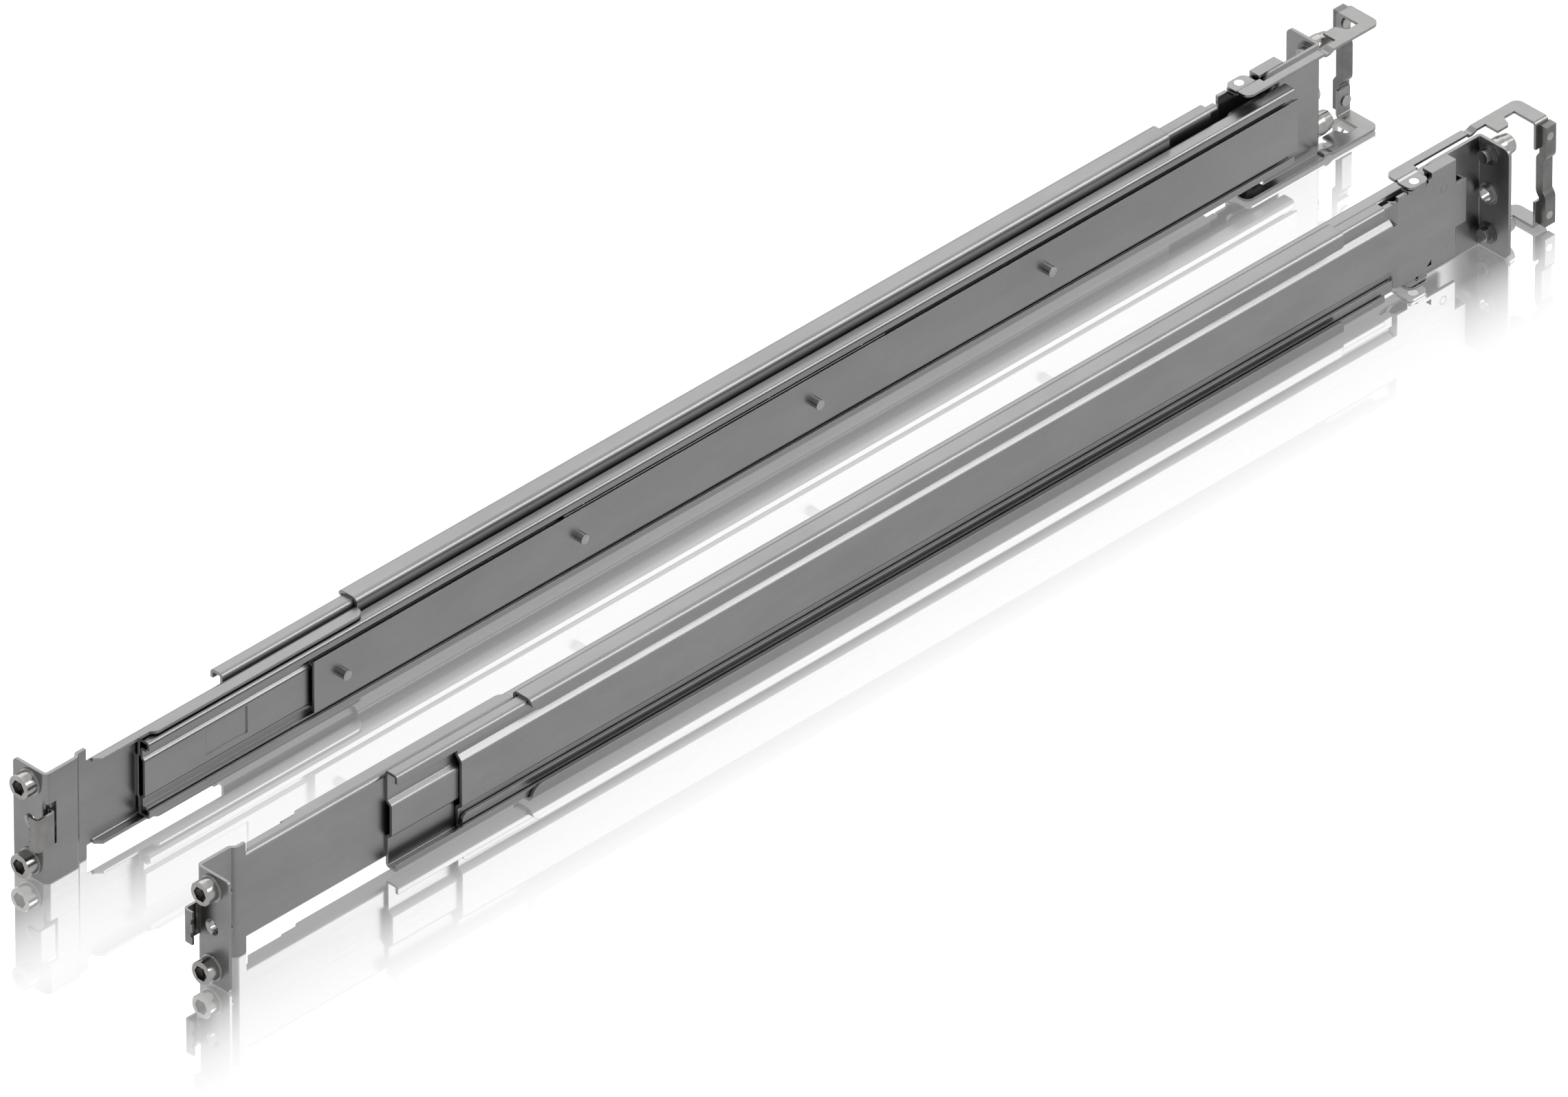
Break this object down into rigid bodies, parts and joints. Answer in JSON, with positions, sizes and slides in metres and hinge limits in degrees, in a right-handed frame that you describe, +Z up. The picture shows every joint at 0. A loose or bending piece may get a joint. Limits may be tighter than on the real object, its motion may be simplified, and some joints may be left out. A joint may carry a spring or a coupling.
{
  "type": "server rail pair",
  "caption": "Pair of ball-bearing server rack rails with adjustable depth, locating pins, sprung front hooks and swinging rear latches.",
  "frame": {"origin": "on the floor, midway between the two rails and midway along them", "axes": "+Z up, -Y towards the front of the rack, +X from the left rail to the right rail"},
  "size_m": [0.1042, 0.6266, 0.044],
  "materials": {
    "bracket_steel": "zinc-plated sheet, satin",
    "slide_steel": "zinc-plated rolled sheet, satin",
    "turned_steel": "nickel-plated, turned",
    "spring_steel": "plated spring steel, semi-bright",
    "latch_steel": "nickel-plated sheet, semi-bright"
  },
  "bodies": {
    "fixed": {"left_front_bracket": "bracket_steel", "left_front_pins": "turned_steel", "left_front_insert": "turned_steel", "left_hook_carrier": "spring_steel", "left_hook_pin": "turned_steel", "left_extension_channel": "bracket_steel", "left_channel_sleeves": "bracket_steel", "left_rail_rivets": "turned_steel", "left_outer_member": "slide_steel", "right_front_bracket": "bracket_steel", "right_front_pins": "turned_steel", "right_front_insert": "turned_steel", "right_hook_carrier": "spring_steel", "right_hook_pin": "turned_steel", "right_extension_channel": "bracket_steel", "right_channel_sleeves": "bracket_steel", "right_rail_rivets": "turned_steel", "right_outer_member": "slide_steel"},
    "left_hook": {"left_front_hook": "spring_steel", "left_hook_spring": "spring_steel"},
    "left_rear": {"left_rear_channel": "bracket_steel", "left_rear_bracket": "bracket_steel", "left_bracket_rivets": "bracket_steel", "left_rear_pins": "turned_steel", "left_rear_pin_nuts": "turned_steel", "left_rear_insert": "turned_steel", "left_latch_hinge_pins": "turned_steel"},
    "left_latch": {"left_latch_arm_upper": "latch_steel", "left_latch_arm_lower": "latch_steel", "left_latch_bar": "turned_steel", "left_latch_bar_rivets": "turned_steel"},
    "left_intermediate": {"left_intermediate_member": "slide_steel"},
    "left_inner": {"left_inner_member": "slide_steel", "left_chassis_studs": "turned_steel"},
    "left_outer_cage": {"left_outer_ball_cages": "slide_steel", "left_outer_balls": "turned_steel"},
    "left_inner_cage": {"left_inner_ball_cages": "slide_steel", "left_inner_balls": "turned_steel"},
    "right_hook": {"right_front_hook": "spring_steel", "right_hook_spring": "spring_steel"},
    "right_rear": {"right_rear_channel": "bracket_steel", "right_rear_bracket": "bracket_steel", "right_bracket_rivets": "bracket_steel", "right_rear_pins": "turned_steel", "right_rear_pin_nuts": "turned_steel", "right_rear_insert": "turned_steel", "right_latch_hinge_pins": "turned_steel"},
    "right_latch": {"right_latch_arm_upper": "latch_steel", "right_latch_arm_lower": "latch_steel", "right_latch_bar": "turned_steel", "right_latch_bar_rivets": "turned_steel"},
    "right_intermediate": {"right_intermediate_member": "slide_steel"},
    "right_inner": {"right_inner_member": "slide_steel", "right_chassis_studs": "turned_steel"},
    "right_outer_cage": {"right_outer_ball_cages": "slide_steel", "right_outer_balls": "turned_steel"},
    "right_inner_cage": {"right_inner_ball_cages": "slide_steel", "right_inner_balls": "turned_steel"}
  },
  "joints": [
    {"name": "left_hook_pivot", "type": "hinge", "parent": "fixed", "child": "left_hook", "pos_m": [-0.0386, -0.30282, 0.0219], "axis": [0, 0, -1], "range_deg": [-15, 0]},
    {"name": "left_depth_slide", "type": "slide", "parent": "fixed", "child": "left_rear", "axis": [0, 1, 0], "range_m": [0, 0.29]},
    {"name": "left_latch_pivot", "type": "hinge", "parent": "left_rear", "child": "left_latch", "pos_m": [-0.04093, 0.25448, 0.0224], "axis": [0, 0, -1], "range_deg": [0, 15]},
    {"name": "left_intermediate_slide", "type": "slide", "parent": "fixed", "child": "left_intermediate", "axis": [0, -1, 0], "range_m": [0, 0.36]},
    {"name": "left_inner_slide", "type": "slide", "parent": "left_intermediate", "child": "left_inner", "axis": [0, -1, 0], "range_m": [0, 0.36]},
    {"name": "left_outer_cage_slide", "type": "slide", "parent": "fixed", "child": "left_outer_cage", "axis": [0, -1, 0], "range_m": [0, 0.18]},
    {"name": "left_inner_cage_slide", "type": "slide", "parent": "left_intermediate", "child": "left_inner_cage", "axis": [0, -1, 0], "range_m": [0, 0.18]},
    {"name": "right_hook_pivot", "type": "hinge", "parent": "fixed", "child": "right_hook", "pos_m": [0.0386, -0.30282, 0.0219], "axis": [0, 0, 1], "range_deg": [-15, 0]},
    {"name": "right_depth_slide", "type": "slide", "parent": "fixed", "child": "right_rear", "axis": [0, 1, 0], "range_m": [0, 0.29]},
    {"name": "right_latch_pivot", "type": "hinge", "parent": "right_rear", "child": "right_latch", "pos_m": [0.04093, 0.25448, 0.0224], "axis": [0, 0, 1], "range_deg": [0, 15]},
    {"name": "right_intermediate_slide", "type": "slide", "parent": "fixed", "child": "right_intermediate", "axis": [0, -1, 0], "range_m": [0, 0.36]},
    {"name": "right_inner_slide", "type": "slide", "parent": "right_intermediate", "child": "right_inner", "axis": [0, -1, 0], "range_m": [0, 0.36]},
    {"name": "right_outer_cage_slide", "type": "slide", "parent": "fixed", "child": "right_outer_cage", "axis": [0, -1, 0], "range_m": [0, 0.18]},
    {"name": "right_inner_cage_slide", "type": "slide", "parent": "right_intermediate", "child": "right_inner_cage", "axis": [0, -1, 0], "range_m": [0, 0.18]}
  ],
  "couplings": [
    {"joint": "left_outer_cage_slide", "follows": "left_intermediate_slide", "ratio": 0.5},
    {"joint": "left_inner_cage_slide", "follows": "left_inner_slide", "ratio": 0.5},
    {"joint": "right_outer_cage_slide", "follows": "right_intermediate_slide", "ratio": 0.5},
    {"joint": "right_inner_cage_slide", "follows": "right_inner_slide", "ratio": 0.5}
  ]
}
